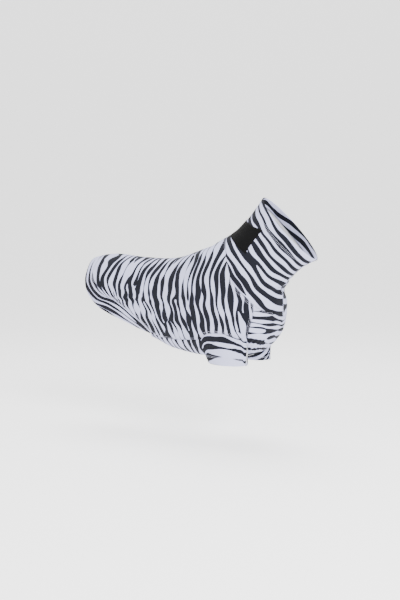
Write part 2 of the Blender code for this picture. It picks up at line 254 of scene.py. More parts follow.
def form_points(places, inset=0.0):
    """Places (station, angle) as points in millimetres."""
    places = np.asarray(places, float)
    top_x, top_z, belly_x, belly_z, half_width, square = rib_at(places[..., 0])
    share = np.cos(places[..., 1])
    reach_x = (top_x - belly_x) / 2
    reach_z = (top_z - belly_z) / 2
    kept = 1 - inset / np.hypot(reach_x, reach_z)
    width = (half_width - inset) * np.clip(1 - np.abs(share) ** square, 0, None) ** (1 / square)
    side = -np.sign(np.sin(places[..., 1]))
    side[np.abs(np.sin(places[..., 1])) < 1e-9] = 0
    x = (top_x + belly_x) / 2 + reach_x * share * kept
    z = (top_z + belly_z) / 2 + reach_z * share * kept
    return np.stack([x, side * width, z], axis=-1)


def unit(vectors):
    return vectors / np.maximum(np.linalg.norm(vectors, axis=-1, keepdims=True), 1e-12)


def form_normals(places):
    """The form's outward directions at places."""
    step = np.array([0.02, 0.0])
    turn = np.array([0.0, 0.03])
    along = form_points(places + step) - form_points(places - step)
    around = form_points(places + turn) - form_points(places - turn)
    return unit(np.cross(around, along))


def place_of(x, z):
    """The place of a point that is given in side view."""
    across = FORM[:, 2:4] - FORM[:, 0:2]
    offset = np.array([x, z]) - FORM[:, 0:2]
    side = across[:, 0] * offset[:, 1] - across[:, 1] * offset[:, 0]
    share = (offset * across).sum(axis=1) / (across**2).sum(axis=1)
    passed = (side[:-1] * side[1:] <= 0) & (share[:-1] > -0.2) & (share[:-1] < 1.2)
    i = int(np.argmax(passed))
    if not passed[i]:
        raise ValueError(f"no rib passes ({x}, {z})")
    part = side[i] / (side[i] - side[i + 1])
    down = min(max(share[i] + part * (share[i + 1] - share[i]), 0.0), 1.0)
    return STATIONS[i] + part / PER_SPAN, math.acos(1 - 2 * down)


def place_beside(x, from_midline):
    """The place on the belly at x along its midline and so far to the side of it."""
    station = float(np.interp(x, FORM[:, 2], STATIONS))
    half_width, square = rib_at(station)[4:6]
    return station, math.pi - math.acos((1 - (from_midline / half_width) ** square) ** (1 / square))


def stepped(places, steps):
    """Even steps along a line of places."""
    return evenly(np.hstack([form_points(places), places]), steps)[:, 3:5]


def seam(points, steps, starts_on_back=False, ends_on_belly=False):
    """A seam drawn in side view, as even steps of places on the form."""
    places = np.array([place_of(*point) for point in smooth_line(points)])
    if starts_on_back:
        places[0, 1] = 0.0
    if ends_on_belly:
        places[-1, 1] = math.pi
    return stepped(places, steps)


def joined(*lines):
    return np.vstack([lines[0], *[line[1:] for line in lines[1:]]])


def pattern():
    """Every seam and edge, as places on the form's right side."""
    corners = [place_of(*ARMHOLE[0]), *[place_beside(*point) for point in UNDERARM], place_of(*ARMHOLE[-1])]
    return {
        "rear_hem": seam(REAR_HEM, sum(SIDE_STEPS), starts_on_back=True),
        "band_seam": seam(BAND_SEAM, sum(SIDE_STEPS), starts_on_back=True),
        "belly_hem": seam(BELLY_HEM, HALF_BELLY_STEPS, ends_on_belly=True),
        "belly_seam": seam(BELLY_SEAM, BACK_STEPS[0]),
        "armhole": seam(ARMHOLE, BACK_STEPS[1]),
        "underarm": stepped(smooth_line(corners), UNDERARM_STEPS),
        "chest_seam": seam(CHEST_SEAM, SIDE_STEPS[1]),
        "neck_seam": seam(NECK_SEAM, SIDE_STEPS[0], starts_on_back=True),
        "neck_seam_front": seam(NECK_SEAM_FRONT, FRONT_STEPS, ends_on_belly=True),
    }


LINES = pattern()


def patch(centre, side, rear, front):
    """A grid of places that fills the four edges: rows from rear to front, columns from centre to side."""
    u = np.linspace(0, 1, len(centre))[:, None, None]
    v = np.linspace(0, 1, len(rear))[None, :, None]
    between_sides = (1 - v) * centre[:, None] + v * side[:, None]
    between_ends = (1 - u) * rear[None] + u * front[None]
    corners = (1 - u) * ((1 - v) * centre[0] + v * side[0]) + u * ((1 - v) * centre[-1] + v * side[-1])
    return between_sides + between_ends - corners


def both_sides(places):
    """Right-side places with their mirror images: columns from the right edge to the left one."""
    left = places * (1, -1)
    return np.concatenate([places[:, ::-1], left[:, 1:]], axis=1)


# --- how the cloth lies ---

def soft_noise(points, size, seed):
    """Smooth noise from -1 to 1 at points in millimetres, with features of about that size."""
    flat = points.reshape(-1, 3) / size + seed * 7.31
    return np.array([noise.noise(Vector(point)) for point in flat]).reshape(points.shape[:-1])


def bump(distance, width):
    return np.exp(-(distance / width) ** 2)


def fade(value, low, high):
    """0 below low, 1 above high, and smooth between."""
    t = np.clip((value - low) / (high - low), 0, 1)
    return t * t * (3 - 2 * t)


def closing_seam():
    """The collar's own seam, up the middle of the throat."""
    foot = LINES["neck_seam_front"][-1, 0]
    stations = np.linspace(foot, STATIONS[-1], COLLAR_STEPS + 1)
    return np.stack([stations, np.full(len(stations), math.pi)], axis=1)


def sewn_lines():
    """Every seam as points in millimetres, on both sides of the shirt."""
    lines = [joined(LINES["neck_seam"], LINES["neck_seam_front"]), LINES["band_seam"], LINES["belly_seam"],
             LINES["armhole"], LINES["underarm"], LINES["chest_seam"]]
    found = []
    for places in lines:
        for side in (1, -1):
            found.append(evenly(form_points(places * (1, side)), SEAM_SAMPLES * len(places)))
    found.append(evenly(form_points(closing_seam()), CLOSING_SAMPLES))
    return found


class SeamFinder:
    """Finds the nearest seam, and how far along it a point is."""

    def __init__(self):
        lines = sewn_lines()
        self.tree = KDTree(sum(len(line) for line in lines))
        self.along = []
        for line in lines:
            steps = np.linalg.norm(np.diff(line, axis=0), axis=1)
            for point, along in zip(line, np.concatenate([[0], np.cumsum(steps)])):
                self.tree.insert(point, len(self.along))
                self.along.append(along)
        self.tree.balance()

    def __call__(self, points):
        found = [self.tree.find(point)[1:] for point in points.reshape(-1, 3)]
        distance = np.array([far for _, far in found]).reshape(points.shape[:-1])
        along = np.array([self.along[i] for i, _ in found]).reshape(points.shape[:-1])
        return distance, along


nearest_seam = SeamFinder()


def seam_relief(points):
    """The seam's groove, the soft shoulder beside it, and the puckers that its thread draws up."""
    distance, along = nearest_seam(points)
    groove = -GROOVE[0] * bump(distance, GROOVE[1])
    shoulder = SHOULDER[0] * bump(distance - SHOULDER[1], SHOULDER[2])
    uneven = 0.6 + 0.4 * soft_noise(points, 23, 3)
    waves = np.sin(2 * math.pi * along / PUCKER[1] + 2 * soft_noise(points, 30, 4))
    return groove + shoulder + PUCKER[0] * uneven * waves * bump(distance, PUCKER[2])


def throat_relief(points):
    """The fold under the throat, where the neck bends, and the roll of cloth below it."""
    x, y, z = np.moveaxis(points, -1, 0)
    front = bump(y, THROAT_SPREAD) * fade(x, *THROAT_FROM)
    wander = 2.5 * soft_noise(points, 40, 5)

    def across(shape, shift):
        height, level, width = shape
        return height * bump(z - level + shift, width)

    fold = across(THROAT_FOLD, wander + THROAT_SAG * y**2)
    return front * (fold + across(THROAT_ROLL, wander) + across(THROAT_CREASE, 1.5 * wander))


def gather_relief(points):
    """Close small folds where the sleeves' front corners meet the chest."""
    x, y, z = np.moveaxis(points, -1, 0)
    from_centre = np.hypot((x - GATHER_CENTRE[0]) / GATHER_LONGER, z - GATHER_CENTRE[1])
    near = bump(from_centre, GATHER_REACH) * fade(-z, -GATHER_BELOW[0], -GATHER_BELOW[1])
    warp = 5 * soft_noise(points, 16, 6)
    folds = np.sin(2 * math.pi * (np.abs(y) + 0.35 * z + warp) / GATHER_SPACING)
    return GATHER_HEIGHT * near * folds


def drag_relief(points):
    """Shallow drag lines that fan out from the armhole, and the cloth's slow waves."""
    forward = points[..., 0] - DRAG_CENTRE[0]
    up = points[..., 2] - DRAG_CENTRE[1]
    slow = sum(height * soft_noise(points, size, seed) for height, size, seed in SLOW_WAVES)
    warp = 3 * soft_noise(points, 45, 8)
    lines = np.sin(DRAG_LINES * np.arctan2(up, forward) + warp)
    ring = bump(np.hypot(up, forward) - DRAG_RING[0], DRAG_RING[1])
    return slow + DRAG_HEIGHT * (lines * ring)


def laid(places):
    """Cloth on the form at places, with its wrinkles: points and outward directions, in millimetres."""
    base = form_points(places)
    normals = form_normals(places)
    drag = bpy.context.scene.fly_sheet_cloth.drag
    height = seam_relief(base) + throat_relief(base) + drag * (gather_relief(base) + drag_relief(base))
    return base, base + normals * height[..., None], normals


def grid_normals(points, like=None, closed=False):
    """Outward directions of a grid of points, on the side that like points to."""
    padded = np.concatenate([points[:, -1:], points, points[:, :1]], axis=1) if closed else points
    across = np.gradient(padded, axis=1)
    across = across[:, 1:-1] if closed else across
    found = unit(np.cross(across, np.gradient(points, axis=0)))
    if like is not None and (found * like).sum() < 0:
        found = -found
    return found


def turned_hem(points, normals, width, radius):
    """Rows that turn a grid's last row inwards, and run back inside it for a width."""
    run = unit(points[-1] - points[-2])
    rows = []
    for turn in np.linspace(0, math.pi, FOLD_STEPS + 1)[1:]:
        rows.append(points[-1] - normals[-1] * radius * (1 - math.cos(turn)) + run * radius * math.sin(turn))
    gone = 0.0
    for i in range(2, len(points)):
        gone += np.linalg.norm(points[-i] - points[1 - i], axis=1).mean()
        if gone > width:
            break
        rows.append(points[-i] - normals[-i] * 2 * radius)
    return np.array(rows)


def arc_lengths(points, axis, middle=None):
    """How far along each row (axis 1) or column (axis 0) each point is, from its start or its middle."""
    steps = np.linalg.norm(np.diff(points, axis=axis), axis=-1)
    along = np.cumsum(steps, axis=axis)
    along = np.concatenate([np.zeros_like(np.take(along, [0], axis=axis)), along], axis=axis)
    if middle is not None:
        along = along - np.take(along, [middle], axis=axis)
    return along


# --- meshes ---

def new_object(name, mesh):
    made = bpy.data.objects.new(name, mesh)
    bpy.context.scene.collection.objects.link(made)
    return made


def quads(rows, columns, closed=False):
    """Corner numbers of the faces of a grid."""
    index = np.arange(rows * columns).reshape(rows, columns)
    if closed:
        index = np.concatenate([index, index[:, :1]], axis=1)
    return np.stack([index[:-1, :-1], index[:-1, 1:], index[1:, 1:], index[1:, :-1]], axis=-1).reshape(-1, 4)


def mesh_of(name, points, faces):
    mesh = bpy.data.meshes.new(name)
    mesh.from_pydata(points.reshape(-1, 3) * MM, [], faces.tolist())
    mesh.shade_smooth()
    return mesh


def final(thing):
    """Applies a piece's modifiers."""
    bpy.context.view_layer.update()
    depsgraph = bpy.context.evaluated_depsgraph_get()
    evaluated = thing.evaluated_get(depsgraph)
    mesh = bpy.data.meshes.new_from_object(evaluated, preserve_all_data_layers=True, depsgraph=depsgraph)
    thing.modifiers.clear()
    old = thing.data
    thing.data = mesh
    mesh.name = thing.name
    bpy.data.meshes.remove(old)
    return thing


def cloth(name, points, normals, print_places, materials, closed=False, thickness=CLOTH):
    """A piece of cloth over a grid of points, with its thickness inside, and where its print comes from."""
    faces = quads(*points.shape[:2], closed)
    a, b, _, d = (points.reshape(-1, 3)[faces[:, i]] for i in range(4))
    like = normals.reshape(-1, 3)
    turned = (np.cross(b - a, d - a)[: len(like) // 2] * like[faces[: len(like) // 2, 0]]).sum() < 0
    mesh = mesh_of(name, points, faces[:, ::-1] if turned else faces)
    place = mesh.attributes.new("print_place", "FLOAT_VECTOR", "POINT")
    place.data.foreach_set("vector", (print_places * MM).astype(np.float32).ravel())
    for material in materials:
        mesh.materials.append(material)
    thing = new_object(name, mesh)
    modifier = thing.modifiers.new("Thickness", "SOLIDIFY")
    modifier.thickness = thickness * MM
    modifier.offset = -1.0
    modifier.use_even_offset = False
    modifier.material_offset = len(materials) - 1
    return final(thing)


def with_hem(points, normals, places, width, radius):
    """A grid with a turned hem at its last row, with its directions and print places to match."""
    rows = turned_hem(points, normals, width, radius)
    count = len(rows)
    more = np.repeat(normals[-1:], count, axis=0)
    steps = arc_lengths(np.concatenate([points[-1:], rows]), 0)[1:, :, None]
    run = unit(places[-1] - places[-2])
    beyond = places[-1] + run * steps
    return (np.concatenate([points, rows]), np.concatenate([normals, more]), np.concatenate([places, beyond]))


# --- materials ---

class Graph:
    """A short way to write node trees."""

    def __init__(self, tree):
        self.tree = tree

    def add(self, kind, settings=None, **inputs):
        node = self.tree.nodes.new(kind)
        for name, value in (settings or {}).items():
            setattr(node, name, value)
        for name, value in inputs.items():
            self.put(node, name.replace("_", " "), value)
        return node

    def put(self, node, name, value):
        socket = node.inputs[int(name) if name.isdigit() else name]
        if isinstance(value, bpy.types.NodeSocket):
            self.tree.links.new(value, socket)
        else:
            socket.default_value = value

    def math(self, operation, a, b=0.0, c=0.0):
        node = self.tree.nodes.new("ShaderNodeMath")
        node.operation = operation
        for i, value in enumerate((a, b, c)):
            self.put(node, str(i), value)
        return node.outputs[0]

    def vector(self, operation, a, b=None, scale=None):
        node = self.add("ShaderNodeVectorMath", {"operation": operation})
        for name, value in (("0", a), ("1", b), ("Scale", scale)):
            if value is not None:
                self.put(node, name, value)
        return node.outputs[0]

    def split(self, vector):
        return self.add("ShaderNodeSeparateXYZ", Vector=vector).outputs

    def blend(self, share, a, b):
        """Colour a where share is 0, and b where it is 1."""
        node = self.tree.nodes.new("ShaderNodeMix")
        node.data_type = "RGBA"
        for i, value in ((0, share), (6, a), (7, b)):
            self.put(node, str(i), value)
        return node.outputs[2]

    def remap(self, value, from_low, from_high, to_low, to_high):
        node = self.add("ShaderNodeMapRange", Value=value)
        node.interpolation_type = "SMOOTHSTEP"
        for name, number in (("From Min", from_low), ("From Max", from_high), ("To Min", to_low),
                             ("To Max", to_high)):
            self.put(node, name, number)
        return node.outputs["Result"]


def node_group(name, inputs, outputs):
    """An empty shader node group with its sockets. inputs and outputs are {name: (kind, default)}."""
    tree = bpy.data.node_groups.new(name, "ShaderNodeTree")
    for direction, sockets in (("INPUT", inputs), ("OUTPUT", outputs)):
        for socket_name, (kind, default) in sockets.items():
            socket = tree.interface.new_socket(socket_name, in_out=direction, socket_type=f"NodeSocket{kind}")
            if default is not None:
                socket.default_value = default
    graph = Graph(tree)
    return graph, tree.nodes.new("NodeGroupInput").outputs, tree.nodes.new("NodeGroupOutput").inputs


STRIPES_TO_CELL = 2.5       # how many stripes pass before the print's noise changes
PRINT_EDGE = 0.015          # how soft a stripe's edge is, as a share of the period


def zebra_group():
    """Zebra stripes over print places in metres: x runs across the stripes, and y along them."""
    graph, given, out = node_group(
        "Zebra print",
        {"Place": ("Vector", None), "Period": ("Float", 0.0155), "Length": ("Float", 0.06),
         "Dark share": ("Float", 0.5), "Wander": ("Float", 0.004), "Unevenness": ("Float", 0.7)},
        {"Mask": ("Float", 0.0)})
    wander = graph.add("ShaderNodeTexNoise", {"noise_dimensions": "3D"}, Vector=given["Place"], Scale=24.0,
                       Detail=0.0, Roughness=0.4).outputs["Color"]
    centred = graph.vector("SUBTRACT", wander, (0.5, 0.5, 0.5))
    shift = graph.vector("SCALE", centred, scale=graph.math("MULTIPLY", given["Wander"], 2.0))
    place = graph.split(graph.vector("ADD", given["Place"], shift))
    across = graph.math("DIVIDE", place["X"], graph.math("MULTIPLY", given["Period"], STRIPES_TO_CELL))
    along = graph.math("DIVIDE", place["Y"], given["Length"])
    cell = graph.add("ShaderNodeCombineXYZ", X=across, Y=along).outputs[0]
    gabor = graph.add("ShaderNodeTexGabor", {"gabor_type": "2D"}, Vector=cell, Scale=1.0,
                      Frequency=STRIPES_TO_CELL, Anisotropy=1.0, Orientation=0.0)
    width = graph.add("ShaderNodeTexNoise", {"noise_dimensions": "2D"}, Vector=cell, Scale=1.7,
                      Detail=0.6, Roughness=0.5).outputs[0]
    uneven = graph.math("MULTIPLY", graph.math("SUBTRACT", width, 0.5), given["Unevenness"])
    half = graph.math("MULTIPLY_ADD", given["Dark share"], 0.5, uneven)
    distance = graph.math("ABSOLUTE", graph.math("SUBTRACT", gabor.outputs["Phase"], 0.5))
    inside = graph.math("SUBTRACT", half, distance)
    graph.put(out[0].node, "Mask", graph.remap(inside, -PRINT_EDGE, PRINT_EDGE, 0.0, 1.0))
    return graph.tree


def knit_group():
    """Fine jersey knit over print places: columns of small loops, and a mottle in the yarn."""
    graph, given, out = node_group(
        "Fine knit",
        {"Place": ("Vector", None), "Loop": ("Float", 0.0007)},
        {"Height": ("Float", 0.0), "Mottle": ("Float", 0.5)})
    turns = graph.math("DIVIDE", 2 * math.pi, given["Loop"])
    place = graph.split(graph.vector("SCALE", given["Place"], scale=turns))
    courses = graph.math("MULTIPLY", place["X"], 0.8)
    slant = graph.math("ABSOLUTE", graph.math("SINE", graph.math("MULTIPLY", place["Y"], 0.5)))
    loops = graph.math("SINE", graph.math("ADD", courses, graph.math("MULTIPLY", slant, 2.2)))
    wales = graph.math("COSINE", place["Y"])
    height = graph.math("MULTIPLY_ADD", loops, 0.5, graph.math("MULTIPLY", wales, -0.5))
    mottle = graph.add("ShaderNodeTexNoise", Vector=given["Place"], Scale=420.0, Detail=4.0, Roughness=0.65)
    graph.put(out[0].node, "Height", height)
    graph.put(out[0].node, "Mottle", mottle.outputs[0])
    return graph.tree


def weave_group():
    """Plain weave over an object's own places: two sets of yarns that pass over each other."""
    graph, given, out = node_group(
        "Plain weave",
        {"Place": ("Vector", None), "Yarn": ("Float", 0.0008)},
        {"Height": ("Float", 0.0), "Mottle": ("Float", 0.5)})
    turns = graph.math("DIVIDE", math.pi, given["Yarn"])
    place = graph.split(graph.vector("SCALE", given["Place"], scale=turns))
    warp = graph.math("SINE", place["X"])
    weft = graph.math("SINE", place["Y"])
    over = graph.math("MULTIPLY", warp, weft)
    height = graph.math("MULTIPLY_ADD", over, 0.5, graph.math("ABSOLUTE", warp))
    mottle = graph.add("ShaderNodeTexNoise", Vector=given["Place"], Scale=700.0, Detail=3.0, Roughness=0.6)
    graph.put(out[0].node, "Height", height)
    graph.put(out[0].node, "Mottle", mottle.outputs[0])
    return graph.tree


def placed(graph, tree, **inputs):
    """A node group placed in a material."""
    node = graph.add("ShaderNodeGroup", {"node_tree": tree})
    for name, value in inputs.items():
        graph.put(node, name.replace("_", " "), value)
    return node.outputs


def new_material(name, **constants):
    """A material whose shader has its constants set on its own sockets."""
    material = bpy.data.materials.new(name)
    material.use_nodes = True
    shader = material.node_tree.nodes["Principled BSDF"]
    for socket, value in constants.items():
        shader.inputs[socket.replace("_", " ")].default_value = value
    return material, Graph(material.node_tree), shader


def finish_shader(graph, shader, colour, rough, height, strength, distance):
    """Joins a colour, a roughness and a bump to the shader."""
    graph.put(shader, "Base Color", colour)
    graph.put(shader, "Roughness", rough)
    relief = graph.add("ShaderNodeBump", Height=height, Strength=strength, Distance=distance)
    graph.put(shader, "Normal", relief.outputs["Normal"])


PLAIN_PRINT = {"period_scale": 1.0, "length_scale": 1.0, "dark_share": 0.52, "wander": 0.005,
               "unevenness": 0.7}
REVERSE_PALE = ((0.66, 0.66, 0.70, 1), (0.74, 0.74, 0.78, 1))
REVERSE_DARK = (0.16, 0.16, 0.19, 1)
SHOW_THROUGH = 0.55         # how strongly the stripes show on the reverse


def knit_material(groups, name, changes):
    """A knit with no colour yet: its material, graph and shader, its stripes' mask, and its loops."""
    settings = bpy.context.scene.fly_sheet_print
    values = {**PLAIN_PRINT, **changes}
    material, graph, shader = new_material(
        name, Sheen_Weight=0.03, Sheen_Roughness=0.5, Specular_IOR_Level=0.12)
    place = graph.add("ShaderNodeAttribute", {"attribute_name": "print_place"}).outputs["Vector"]
    mask = placed(graph, groups["zebra"], Place=place, Period=settings.period * values["period_scale"],
                  Length=settings.length * values["length_scale"], Dark_share=values["dark_share"],
                  Wander=values["wander"], Unevenness=values["unevenness"])["Mask"]
    knit = placed(graph, groups["knit"], Place=place)
    return material, graph, shader, mask, knit


def shaded(colour, share):
    return (*(share * c for c in colour[:3]), 1)


def printed_knit(groups, name, changes):
    """The printed side of the cloth."""
    settings = bpy.context.scene.fly_sheet_print
    material, graph, shader, mask, knit = knit_material(groups, name, changes)
    yarn = graph.remap(knit["Mottle"], 0.3, 0.7, 0.0, 1.0)
    ground = graph.blend(yarn, shaded(settings.pale, 0.94), (*settings.pale, 1))
    stripe = graph.blend(yarn, (*settings.dark, 1), shaded(settings.dark, 1.8))
    rough = graph.remap(knit["Mottle"], 0.25, 0.75, 0.72, 0.88)
    finish_shader(graph, shader, graph.blend(mask, ground, stripe), rough, knit["Height"], 0.35, 0.0002)
    return material


def reverse_knit(groups, name, changes):
    """The unprinted side of the cloth, where the stripes show through faintly."""
    material, graph, shader, mask, knit = knit_material(groups, name, changes)
    yarn = graph.remap(knit["Mottle"], 0.3, 0.7, 0.0, 1.0)
    colour = graph.blend(graph.math("MULTIPLY", mask, SHOW_THROUGH), graph.blend(yarn, *REVERSE_PALE),
                         REVERSE_DARK)
    rough = graph.remap(knit["Mottle"], 0.25, 0.75, 0.8, 0.92)
    finish_shader(graph, shader, colour, rough, knit["Height"], 0.3, 0.0002)
    return material


def woven(groups, name, colour, yarn, contrast, **constants):
    """A woven tape or patch."""
    material, graph, shader = new_material(name, **constants)
    place = graph.add("ShaderNodeTexCoord").outputs["Object"]
    weave = placed(graph, groups["weave"], Place=place, Yarn=yarn)
    light = tuple(min(1.0, c * (1 + contrast)) for c in colour) + (1,)
    low = tuple(c * (1 - contrast) for c in colour) + (1,)
    shade = graph.blend(graph.remap(weave["Mottle"], 0.3, 0.7, 0.0, 1.0), low, light)
    finish_shader(graph, shader, shade, graph.remap(weave["Mottle"], 0.3, 0.7, 0.6, 0.8),
                  weave["Height"], 0.5, 0.0002)
    return material


def thread_material(name, colour):
    """Twisted polyester thread."""
    material, graph, shader = new_material(name, Sheen_Weight=0.1, Specular_IOR_Level=0.4)
    place = graph.add("ShaderNodeTexCoord").outputs["Object"]
    plies = graph.add("ShaderNodeTexWave", {"bands_direction": "DIAGONAL"}, Vector=place, Scale=900.0,
                      Distortion=1.5, Detail=1.0).outputs[1]
    # The plies' wave darkens the colour to 0.8 in its troughs, where the bump is lowest: painted shade in the
    # grooves between the plies.
    low = tuple(0.8 * c for c in colour) + (1,)
    finish_shader(graph, shader, graph.blend(plies, low, (*colour, 1)), graph.remap(plies, 0, 1, 0.5, 0.65),
                  plies, 0.4, 0.0001)
    return material


MATERIALS = {}


class OBJECT_OT_fly_sheet_materials(bpy.types.Operator):
    """Make the printed knit, its reverse, the threads and the tapes."""

    bl_idname = "object.fly_sheet_materials"
    bl_label = "Cloth and Threads"

    def execute(self, context):
        settings = context.scene.fly_sheet_cloth
        groups = {"zebra": zebra_group(), "knit": knit_group(), "weave": weave_group()}
        prints = {
            "flank": {"unevenness": 0.85, "wander": 0.007, "dark_share": 0.56},
            "collar": {"period_scale": 0.95, "length_scale": 1.5, "unevenness": 0.5, "dark_share": 0.55},
            "chest": {"period_scale": 0.85, "length_scale": 0.5, "dark_share": 0.46, "wander": 0.007},
            "sleeve": {"period_scale": 1.15, "length_scale": 1.1, "dark_share": 0.46},
            "band": {"period_scale": 0.78, "length_scale": 1.3, "wander": 0.002},
        }
        for name, values in prints.items():
            MATERIALS[name] = [printed_knit(groups, f"Printed knit {name}", values),
                               reverse_knit(groups, f"Knit reverse {name}", values)]
        MATERIALS["thread"] = thread_material("Sewing thread", settings.thread)
        MATERIALS["dark_thread"] = thread_material("Patch thread", (0.014, 0.014, 0.016))
        MATERIALS["patch"] = woven(groups, "Woven patch", settings.patch, 0.0006, 0.3,
                                   Sheen_Weight=0.01, Specular_IOR_Level=0.08)
        MATERIALS["elastic"] = woven(groups, "Woven elastic", (0.72, 0.72, 0.73), 0.0012, 0.12)
        MATERIALS["label"] = woven(groups, "Satin label tape", (0.80, 0.80, 0.80), 0.0005, 0.08,
                                   Sheen_Weight=0.2)
        return {"FINISHED"}


# --- the print's places on each piece ---

STRIPE_LEAN = ((-240, -120, 0, 60), (0.60, 0.42, 0.22, 0.18))  # x, and how much the stripes lean there
LEAN_LEVEL = 28             # z where the flank's stripes stand upright
LEAN_TURN = 26              # how gently they turn there
RUMP = (-215, -150)         # x where the stripes follow the band, and where they stand
RUMP_DEPTH = (12, 60)       # the same, as distances from the band
RUMP_PLACE = -247           # the print's place at the band's seam
CHEST_FROM = (60, 140)      # x where the belly's stripes start to turn, and where they are level
CHEST_RISE = 0.15           # how the chest's stripes rise to the midline
BELLY_PLACE = 241           # the print's place on the belly where x is 0


def flank_print(base, distance_from_band):
    """Stripes that stand on the flank, lean towards the head above and below, and follow the rear edge."""
    x, z = base[..., 0], base[..., 2]
    lean = np.interp(x, *STRIPE_LEAN)
    across = x - lean * (np.hypot(z - LEAN_LEVEL, LEAN_TURN) - LEAN_TURN)
    rear = RUMP_PLACE + distance_from_band
    share = (1 - fade(distance_from_band, *RUMP_DEPTH)) * (1 - fade(x, *RUMP))
    return across * (1 - share) + rear * share


def chest_print(base):
    """Level stripes on the chest that turn across the belly further back."""
    x, y, z = np.moveaxis(base, -1, 0)
    level = -z + CHEST_RISE * np.abs(y)
    across = BELLY_PLACE - x
    share = fade(x, *CHEST_FROM)
    return across * (1 - share) + level * share


SEED_STEP = (311, 173)      # how far apart the seeds' parts of the print lie


def print_vectors(across, along, seed):
    """Where each point of a piece lies on the printed cloth."""
    place = (across + SEED_STEP[0] * seed, along + SEED_STEP[1] * seed, np.zeros_like(across))
    return np.stack(place, axis=-1)


# --- the pieces ---

def add_piece(thing, body, slot, *nodes):
    """Hangs a finished piece on a body, in place of CAD nodes."""
    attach(thing, body)
    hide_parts(*nodes)


def add_blended(thing, body, slot, *nodes):
    """Bakes a finished piece's placement into its mesh, in place of CAD nodes."""
    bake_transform(thing)
    if nodes:
        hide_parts(*nodes)


class OBJECT_OT_fly_sheet_panels(bpy.types.Operator):
    """Lay the back panel and the underside panel on the form."""

    bl_idname = "object.fly_sheet_panels"
    bl_label = "Back and Underside"

    def execute(self, context):
        side = joined(LINES["belly_seam"], LINES["armhole"])
        front = joined(LINES["neck_seam"], LINES["chest_seam"][::-1])
        line = np.linspace(LINES["band_seam"][0], LINES["neck_seam"][0], LINE_SAMPLES)
        centre = stepped(line, len(side) - 1)
        base, points, normals = laid(both_sides(patch(centre, side, LINES["band_seam"], front)))
        middle = len(front) - 1
        across = flank_print(base, arc_lengths(base, 0))
        places = print_vectors(across, arc_lengths(base, 1, middle), 1)
        back = cloth("back_panel_cloth", points, normals, places, MATERIALS["flank"])
        add_piece(back, "body", "printed_knit", "back_panel")

        side = joined(LINES["belly_seam"], LINES["underarm"], LINES["chest_seam"])
        rear = LINES["belly_hem"][::-1]
        front = stepped(LINES["neck_seam_front"][::-1], HALF_BELLY_STEPS)
        centre = stepped(np.linspace(rear[0], front[0], LINE_SAMPLES), len(side) - 1)
        base, points, normals = laid(both_sides(patch(centre, side, rear, front)))
        places = print_vectors(chest_print(base), base[..., 1], 2)
        # The belly hem is the first row, so the grid is turned round to hem it
        grids = (points[::-1], normals[::-1], places[::-1])
        points, normals, places = with_hem(*grids, BELLY_HEM_WIDTH, HEM_RADIUS)
        under = cloth("underside_panel_cloth", points, normals, places, MATERIALS["chest"])
        add_piece(under, "body", "printed_knit", "underside_panel")
        return {"FINISHED"}


def collar_places():
    """Rows of places from the neck seam to the collar's top."""
    foot = joined(LINES["neck_seam"], LINES["neck_seam_front"])
    top = np.stack([np.full(len(foot), STATIONS[-1]), np.linspace(0, math.pi, len(foot))], axis=1)
    share = np.linspace(0, 1, COLLAR_STEPS + 1)[:, None, None]
    return foot[None] + (top - foot)[None] * share


NECK_AXIS = np.array([0.785, 0.0, 0.62])    # up the neck, across the collar's stripes


class OBJECT_OT_fly_sheet_collar(bpy.types.Operator):
    """Lay the collar on the form, with its top turned in."""

    bl_idname = "object.fly_sheet_collar"
    bl_label = "Collar"

    def execute(self, context):
        places = both_sides(collar_places())[:, :-1]
        base, points, normals = laid(places)
        middle = base.shape[1] // 2
        print_places = print_vectors(base @ NECK_AXIS, arc_lengths(base, 1, middle), 21)
        points, normals, print_places = with_hem(points, normals, print_places, COLLAR_HEM, HEM_RADIUS)
        collar = cloth("collar_cloth", points, normals, print_places, MATERIALS["collar"], closed=True)
        add_blended(collar, "collar", "printed_knit", "collar")
        return {"FINISHED"}


SLEEVE_PULL = (0.7, 7, 9)       # the pulled folds' height, how many there are, and how they slant
SLEEVE_PULL_AT = (0.35, 0.3)    # how far down they lie, and how wide, as shares of the sleeve
SLEEVE_ROUGH = 0.5              # height of the slack cloth's small waves


def sleeve_grid(side):
    """Rings of a sleeve from the armhole to the hem, and their outward directions."""
    ring = joined(LINES["armhole"], LINES["underarm"][::-1])[:-1] * (1, side)
    _, top, _ = laid(ring)
    middle = np.array([HEM_CENTRE[0], side * HEM_CENTRE[1], 0])
    around = (top[:, :2] - middle[:2]) / HEM_HALF
    around /= np.linalg.norm(around, axis=1, keepdims=True)
    heights = HEM_Z[0] + (HEM_Z[1] - HEM_Z[0]) * (around[:, 0] + 1) / 2
    hem = np.column_stack([middle[:2] + around * HEM_HALF, heights])
    outward = unit((hem - middle) * (1, 1, 0))
    length = np.linalg.norm(hem - top, axis=1, keepdims=True)
    t = np.linspace(0, 1, SLEEVE_STEPS + 1)[:, None, None]
    rings = top + (hem - top) * t + outward * length * SLEEVE_BULGE * np.sin(math.pi * t)
    normals = grid_normals(rings, like=np.broadcast_to(outward, rings.shape), closed=True)
    down = t[..., 0]
    turn = np.arctan2(rings[..., 1] - middle[1], rings[..., 0] - middle[0])
    height, count, slant = SLEEVE_PULL
    pull = height * np.sin(count * turn + slant * down + 2.5 * soft_noise(rings, 24, 11))
    at, wide = SLEEVE_PULL_AT
    waves = pull * bump(down - at, wide) + SLEEVE_ROUGH * soft_noise(rings, 18, 12)
    relief = waves * np.sin(math.pi * down ** 0.8)
    return rings + normals * relief[..., None], normals


